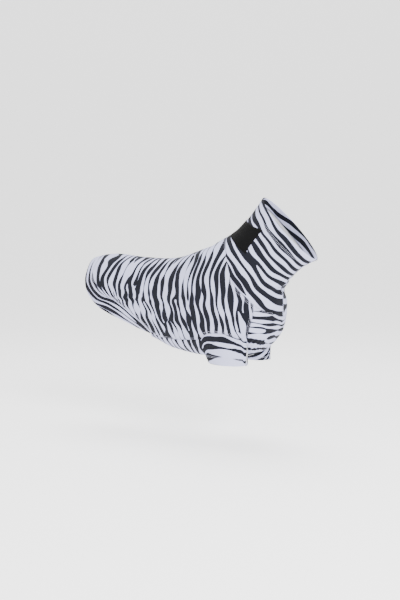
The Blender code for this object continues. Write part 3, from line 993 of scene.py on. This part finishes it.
class OBJECT_OT_fly_sheet_sleeves(bpy.types.Operator):
    """Make the two short sleeves, with their hems turned in."""

    bl_idname = "object.fly_sheet_sleeves"
    bl_label = "Sleeves"

    def execute(self, context):
        for name, side, seed in (("right_sleeve", 1, 16), ("left_sleeve", -1, 17)):
            points, normals = sleeve_grid(side)
            places = print_vectors(arc_lengths(points, 0), arc_lengths(points, 1), seed)
            points, normals, places = with_hem(points, normals, places, SLEEVE_HEM, HEM_RADIUS)
            sleeve = cloth(f"{name}_cloth", points, normals, places, MATERIALS["sleeve"], closed=True)
            add_blended(sleeve, name, "printed_knit", name)
        return {"FINISHED"}


BAND_REACH = 0.97               # the band's cloth stops just short of its fold
BAND_FOLDED_BACK = 21.0         # how far it runs back inside
TAPE_SHARES = (0.32, 0.78)      # the tape's edges, as shares of the band's width from its seam
TAPE_COLUMNS = 9
TAPE_END_STEPS = 22             # how far short of the band's ends it stops
TAPE_THICKNESS = 0.8


def band_places(share):
    """A line around the rear opening, at a share of the band's width from its seam."""
    return LINES["band_seam"] + (LINES["rear_hem"] - LINES["band_seam"]) * share


class OBJECT_OT_fly_sheet_band(bpy.types.Operator):
    """Fold the rear band over its elastic tape."""

    bl_idname = "object.fly_sheet_band"
    bl_label = "Rear Band"

    def execute(self, context):
        rows = np.array([band_places(share) for share in np.linspace(0, BAND_REACH, BAND_STEPS + 1)])
        base, points, normals = laid(both_sides(rows))
        middle = rows.shape[1] - 1
        places = print_vectors(arc_lengths(base, 0), arc_lengths(base, 1, middle), 6)
        points, normals, places = with_hem(points, normals, places, BAND_FOLDED_BACK, BAND_RADIUS)
        band = cloth("rear_band_cloth", points, normals, places, MATERIALS["band"])
        add_piece(band, "body", "printed_knit", "rear_band")

        shares = np.linspace(*TAPE_SHARES, TAPE_COLUMNS)
        tape_rows = np.array([band_places(share)[:-TAPE_END_STEPS] for share in shares])
        places = both_sides(tape_rows)
        points = form_points(places, BAND_RADIUS - TAPE_THICKNESS / 2)
        normals = form_normals(places)
        ribs = print_vectors(arc_lengths(points, 0), arc_lengths(points, 1), 7)
        tape = cloth("rear_elastic_tape", points, normals, ribs, [MATERIALS["elastic"]],
                     thickness=TAPE_THICKNESS)
        add_piece(tape, "body", "elastic_tape", "rear_elastic")
        return {"FINISHED"}


def cloth_surface(*names):
    """The finished cloth of pieces, for laying stitches on it."""
    points = []
    faces = []
    for name in names:
        mesh = bpy.data.objects[name].data
        start = len(points)
        points.extend(vertex.co.copy() for vertex in mesh.vertices)
        faces.extend([start + i for i in face.vertices] for face in mesh.polygons)
    return BVHTree.FromPolygons(points, faces)


def beside(line, normals, distance):
    """A line moved sideways on the cloth, to the left of its run."""
    run = unit(np.gradient(line, axis=0))
    return line + unit(np.cross(normals, run)) * distance


STITCH_SIDES = 6
# Along a stitch: the place as a share of its length, how thick it is there, and how far it stands up
STITCH_PROFILE = [(-0.5, 0.35, -0.10), (-0.3, 0.9, 0.16), (0.0, 1.0, 0.22), (0.3, 0.9, 0.16),
                  (0.5, 0.35, -0.10)]
COLLAR_HEM_ROWS = (9, 10)       # the steps of cloth from the hem to each needle row
SLEEVE_HEM_ROWS = (6, 7)
SEAM_END_STEPS = 3              # where a side seam's needle rows stop, before the next seam
CLOSING_ROWS = slice(1, -9)     # the closing seam's stitches stop below the collar's hem


def stitch_row(line, surface, outward, closed=False):
    """Stitches along a line of points in millimetres, laid on a surface: points and faces."""
    if closed:
        line = np.vstack([line, line[:1]])
        outward = np.vstack([outward, outward[:1]])
    length = np.linalg.norm(np.diff(line, axis=0), axis=1).sum()
    count = max(int(length / STITCH_STEP), 1)
    ends = evenly(np.hstack([line, outward]), count * 4)
    points = []
    faces = []
    turns = np.linspace(0, 2 * math.pi, STITCH_SIDES, endpoint=False)
    for i in range(count):
        centre, up = ends[4 * i + 2, :3], unit(ends[4 * i + 2, 3:])
        run = unit(ends[4 * i + 3, :3] - ends[4 * i + 1, :3])
        side = unit(np.cross(up, run))
        start = len(points)
        for along, size, lift in STITCH_PROFILE:
            place = centre + run * along * STITCH_LENGTH
            found = surface.find_nearest(Vector(place * MM))
            place = np.array(found[0]) / MM + up * lift
            for turn in turns:
                points.append(place + (side * math.cos(turn) + up * math.sin(turn)) * STITCH_RADIUS * size)
        rings = len(STITCH_PROFILE)
        for ring in range(rings - 1):
            for k in range(STITCH_SIDES):
                a = start + ring * STITCH_SIDES + k
                b = start + ring * STITCH_SIDES + (k + 1) % STITCH_SIDES
                faces.append((a, b, b + STITCH_SIDES, a + STITCH_SIDES))
        faces.append(tuple(start + k for k in reversed(range(STITCH_SIDES))))
        faces.append(tuple(start + (rings - 1) * STITCH_SIDES + k for k in range(STITCH_SIDES)))
    return points, faces


def stitching(name, rows, surface, material):
    """One object of stitch rows. rows are (line, outward directions, closed)."""
    points = []
    faces = []
    for line, outward, closed in rows:
        more, around = stitch_row(line, surface, outward, closed)
        faces.extend(tuple(len(points) + i for i in face) for face in around)
        points.extend(more)
    mesh = bpy.data.meshes.new(name)
    mesh.from_pydata([tuple(point * MM) for point in np.array(points)], [], faces)
    mesh.shade_smooth()
    mesh.materials.append(material)
    return new_object(name, mesh)


def seam_rows(places, sign, whole=False):
    """The two needle rows beside a seam."""
    if whole:
        left = places[1:, :] * (1, -1)
        places = np.vstack([places[::-1], left])
    line = form_points(places)
    normals = form_normals(places)
    return [(beside(line, normals, sign * distance), normals, False) for distance in ROW_SET_BACK]


class OBJECT_OT_fly_sheet_stitching(bpy.types.Operator):
    """Sew the seams and hems with twin rows of stitches."""

    bl_idname = "object.fly_sheet_stitching"
    bl_label = "Stitching"

    def execute(self, context):
        thread = MATERIALS["thread"]
        body = cloth_surface("back_panel_cloth", "underside_panel_cloth")
        around = joined(LINES["neck_seam"], LINES["neck_seam_front"])
        neck = stitching("neck_seam_threads", seam_rows(around, 1, whole=True), body, thread)
        add_piece(neck, "body", "thread", "neck_seam_stitches")
        band = stitching("band_seam_threads", seam_rows(LINES["band_seam"], -1, whole=True), body, thread)
        add_piece(band, "body", "thread", "band_seam_stitches")
        for side, sign in (("right", 1), ("left", -1)):
            for name in ("belly_seam", "armhole", "chest_seam"):
                rows = seam_rows(LINES[name][SEAM_END_STEPS:-SEAM_END_STEPS] * (1, sign), sign)
                piece = stitching(f"{side}_{name}_threads", rows, body, thread)
                add_piece(piece, "body", "thread", f"{side}_{name}_stitches")
        throat = closing_seam()[CLOSING_ROWS]
        rows = [seam_rows(throat, sign)[0] for sign in (1, -1)]
        piece = stitching("collar_closing_threads", rows, cloth_surface("collar_cloth"), thread)
        add_blended(piece, "collar", "thread")
        self.hem_rows(thread)
        return {"FINISHED"}

    def hem_rows(self, thread):
        """Stitches that hold the turned hems of the collar and sleeves."""
        places = both_sides(collar_places())[:, :-1]
        rings = [places[-back] for back in COLLAR_HEM_ROWS]
        rows = [(form_points(ring), form_normals(ring), True) for ring in rings]
        piece = stitching("collar_hem_threads", rows, cloth_surface("collar_cloth"), thread)
        add_blended(piece, "collar", "thread")
        for name, side in (("right_sleeve", 1), ("left_sleeve", -1)):
            points, normals = sleeve_grid(side)
            rows = [(points[-back], normals[-back], True) for back in SLEEVE_HEM_ROWS]
            piece = stitching(f"{name}_hem_threads", rows, cloth_surface(f"{name}_cloth"), thread)
            add_blended(piece, name, "thread")


PATCH_STEPS = (24, 60)
PATCH_LIFT = 0.55
PATCH_LOFT = 0.35               # how much higher its middle lies than its sewn edge
PATCH_THICKNESS = 0.5
LABEL_STEPS = (33, 13)
LABEL_THICKNESS = 0.25
LABEL_APART = 0.8               # between its two leaves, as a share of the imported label's thickness
LABEL_SWELL = 1.1               # how much further apart they are half way down
LABEL_BEND = (1.2, 1.6, 0.4)    # how far it bends forward, its turn in radians, and how far back it hangs
LABEL_WAVE = (0.4, 5.0)         # height and size of the wave across its foot


class OBJECT_OT_fly_sheet_trims(bpy.types.Operator):
    """Sew the plain patch on the nape, and hang the care label inside the neck."""

    bl_idname = "object.fly_sheet_trims"
    bl_label = "Patch and Label"

    def execute(self, context):
        rear, front = [place_of(x, np.interp(x, FORM[:, 0], FORM[:, 1]))[0] for x in PATCH[:2]]
        reach = math.radians(PATCH[2])
        stations = np.linspace(rear, front, PATCH_STEPS[0] + 1)
        angles = np.linspace(reach, -reach, PATCH_STEPS[1] + 1)
        places = np.stack(np.meshgrid(stations, angles, indexing="ij"), axis=-1)
        places[..., 0] += PATCH_LEAN * (1 - np.cos(places[..., 1]))
        base, points, normals = laid(places)
        edge = np.minimum.outer(*[np.minimum(np.arange(steps + 1), np.arange(steps, -1, -1))
                                  for steps in PATCH_STEPS])
        lift = PATCH_LIFT + PATCH_LOFT * fade(edge, 0, 2)
        points = points + normals * lift[..., None]
        weave = print_vectors(arc_lengths(base, 0), arc_lengths(base, 1), 8)
        label = cloth("nape_patch_cloth", points, normals, weave, [MATERIALS["patch"]],
                      thickness=PATCH_THICKNESS)
        add_blended(label, "collar", "patch_cloth", "nape_patch")
        inner = places[1:-1, 1:-1]
        outline = np.vstack([inner[0], inner[1:, -1], inner[-1, ::-1][1:], inner[1:-1, 0][::-1]])
        rows = [(form_points(outline), form_normals(outline), True)]
        piece = stitching("nape_patch_threads", rows, cloth_surface("nape_patch_cloth"),
                          MATERIALS["dark_thread"])
        add_blended(piece, "collar", "thread")
        self.add_label()
        return {"FINISHED"}

    def add_label(self):
        """A folded tape that hangs from the back panel's inside."""
        low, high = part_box("care_label")
        middle = (low + high) / 2
        size = high - low
        rows, columns = LABEL_STEPS
        t = np.linspace(0, 1, rows)
        width = np.linspace(-0.5, 0.5, columns) * size.y / MM
        length = size.z / MM
        half = size.x / 2 / MM
        down = np.concatenate([t, t[::-1][1:]])
        out = np.concatenate([np.full(rows, 1.0), np.full(rows - 1, -1.0)])
        swell = LABEL_SWELL * np.sin(math.pi * np.minimum(down, 0.98)) ** 0.7
        bend, turn, back = LABEL_BEND
        x = middle.x / MM + out * (half * LABEL_APART + swell * 0.5) + bend * np.sin(turn * down) - back
        z = high.z / MM - down * length
        points = np.array([[(a, b + middle.y / MM, c) for b in width] for a, c in zip(x, z)])
        points[..., 0] += LABEL_WAVE[0] * np.sin(points[..., 1] / LABEL_WAVE[1]) * down[:, None]
        normals = grid_normals(points)
        weave = print_vectors(arc_lengths(points, 0), arc_lengths(points, 1), 9)
        tape = cloth("care_label_tape", points, normals, weave, [MATERIALS["label"]],
                     thickness=LABEL_THICKNESS)
        add_piece(tape, "care_label", "label_tape", "care_label")


# --- stage ---

LENS = 54.29                    # millimetres, on a sensor 36 wide
# The floor and backdrop in metres: how far away, and how high
FLOOR_PROFILE = [(-6.0, 0.0), (-3.0, 0.0), (-1.0, 0.0), (1.0, 0.0), (3.0, 0.0), (4.6, 0.4), (5.6, 1.4),
                 (6.0, 3.0), (6.0, 5.0), (6.0, 7.0)]
FLOOR_HALF_WIDTH = 7
FLOOR_GLOW = 0.6                # lights the backdrop evenly
# Round lamps: place, size across and watts
LAMPS = {
    "Key": ((1.7, -1.2, 1.2), 1.0, 85.0),
    "Fill": ((-1.2, -2.2, 0.9), 2.0, 30.0),
    "Top": ((-0.2, 0.4, 2.4), 1.6, 60.0),
}
DAYLIGHT = 1.35


class OBJECT_OT_fly_sheet_stage(bpy.types.Operator):
    """Set the camera, a pale floor and soft studio lights."""

    bl_idname = "object.fly_sheet_stage"
    bl_label = "Stage"

    def execute(self, context):
        settings = context.scene.fly_sheet_stage
        self.add_camera(settings)
        self.add_floor(settings)
        self.add_lights()
        return {"FINISHED"}

    def add_camera(self, settings):
        camera = bpy.data.objects.new("Camera", bpy.data.cameras.new("Camera"))
        bpy.context.scene.collection.objects.link(camera)
        turn, rise = settings.azimuth, settings.elevation
        back = Vector((math.sin(turn) * math.cos(rise), -math.cos(turn) * math.cos(rise), math.sin(rise)))
        camera.location = back * settings.distance
        camera.rotation_mode = "QUATERNION"
        camera.rotation_quaternion = (-back).to_track_quat("-Z", "Y")
        camera.data.sensor_width = 36.0
        camera.data.lens = LENS
        camera.data.clip_end = 60
        bpy.context.scene.camera = camera

    def add_floor(self, settings):
        """A floor that curves up into a backdrop."""
        line = smooth_line([(along, up, 0) for along, up in FLOOR_PROFILE])[::4]
        turn = settings.azimuth
        away = np.array([-math.sin(turn), math.cos(turn)])
        sideways = np.array([math.cos(turn), math.sin(turn)])
        columns = np.linspace(-FLOOR_HALF_WIDTH, FLOOR_HALF_WIDTH, 9)
        points = np.array([[(*(away * along + sideways * across), up + settings.floor) for across in columns]
                           for along, up, _ in line])
        mesh = mesh_of("Floor", points / MM, quads(*points.shape[:2]))
        material, graph, shader = new_material(
            "Pale floor", Specular_IOR_Level=0.1, Emission_Color=(1, 1, 1, 1),
            Emission_Strength=FLOOR_GLOW)
        place = graph.add("ShaderNodeTexCoord").outputs["Object"]
        mottle = graph.add("ShaderNodeTexNoise", Vector=place, Scale=3.0, Detail=3.0).outputs[0]
        graph.put(shader, "Base Color", graph.blend(mottle, (0.94, 0.94, 0.94, 1), (0.96, 0.96, 0.96, 1)))
        graph.put(shader, "Roughness", graph.remap(mottle, 0.2, 0.8, 0.85, 0.95))
        mesh.materials.append(material)
        new_object("Floor", mesh)

    def add_lights(self):
        """A large key light in front of the chest, a broad fill from the side, and a light from above."""
        for name, (place, size, power) in LAMPS.items():
            lamp = bpy.data.lights.new(name, "AREA")
            lamp.shape = "DISK"
            lamp.size = size
            lamp.energy = power
            thing = bpy.data.objects.new(name, lamp)
            thing.location = place
            thing.rotation_mode = "QUATERNION"
            thing.rotation_quaternion = (-Vector(place)).to_track_quat("-Z", "Y")
            bpy.context.scene.collection.objects.link(thing)
        world = bpy.data.worlds.new("Studio")
        world.use_nodes = True
        background = world.node_tree.nodes["Background"]
        background.inputs["Color"].default_value = (1, 1, 1, 1)
        background.inputs["Strength"].default_value = DAYLIGHT
        bpy.context.scene.world = world


# --- add-on ---

OPERATORS = (
    OBJECT_OT_fly_sheet_materials,
    OBJECT_OT_fly_sheet_panels,
    OBJECT_OT_fly_sheet_collar,
    OBJECT_OT_fly_sheet_sleeves,
    OBJECT_OT_fly_sheet_band,
    OBJECT_OT_fly_sheet_stitching,
    OBJECT_OT_fly_sheet_trims,
    OBJECT_OT_fly_sheet_stage,
)


class VIEW3D_PT_fly_sheet(bpy.types.Panel):
    """The fly sheet's settings and the steps that build it."""

    bl_label = "Fly Sheet"
    bl_space_type = "VIEW_3D"
    bl_region_type = "UI"
    bl_category = "Fly Sheet"

    def draw(self, context):
        for settings in (context.scene.fly_sheet_print, context.scene.fly_sheet_cloth,
                         context.scene.fly_sheet_stage):
            box = self.layout.box()
            for name in settings.__annotations__:
                box.prop(settings, name)
        for operator in OPERATORS:
            self.layout.operator(operator.bl_idname)


CLASSES = (PrintSettings, ClothSettings, StageSettings, *OPERATORS, VIEW3D_PT_fly_sheet)


def register():
    for made in CLASSES:
        bpy.utils.register_class(made)
    bpy.types.Scene.fly_sheet_print = bpy.props.PointerProperty(type=PrintSettings)
    bpy.types.Scene.fly_sheet_cloth = bpy.props.PointerProperty(type=ClothSettings)
    bpy.types.Scene.fly_sheet_stage = bpy.props.PointerProperty(type=StageSettings)


def unregister():
    del bpy.types.Scene.fly_sheet_stage
    del bpy.types.Scene.fly_sheet_cloth
    del bpy.types.Scene.fly_sheet_print
    for made in reversed(CLASSES):
        bpy.utils.unregister_class(made)


def main():
    register()
    bpy.ops.object.fly_sheet_materials()
    bpy.ops.object.fly_sheet_panels()
    bpy.ops.object.fly_sheet_collar()
    bpy.ops.object.fly_sheet_sleeves()
    bpy.ops.object.fly_sheet_band()
    bpy.ops.object.fly_sheet_stitching()
    bpy.ops.object.fly_sheet_trims()
    bpy.ops.object.fly_sheet_stage()


if __name__ == "__main__":
    main()
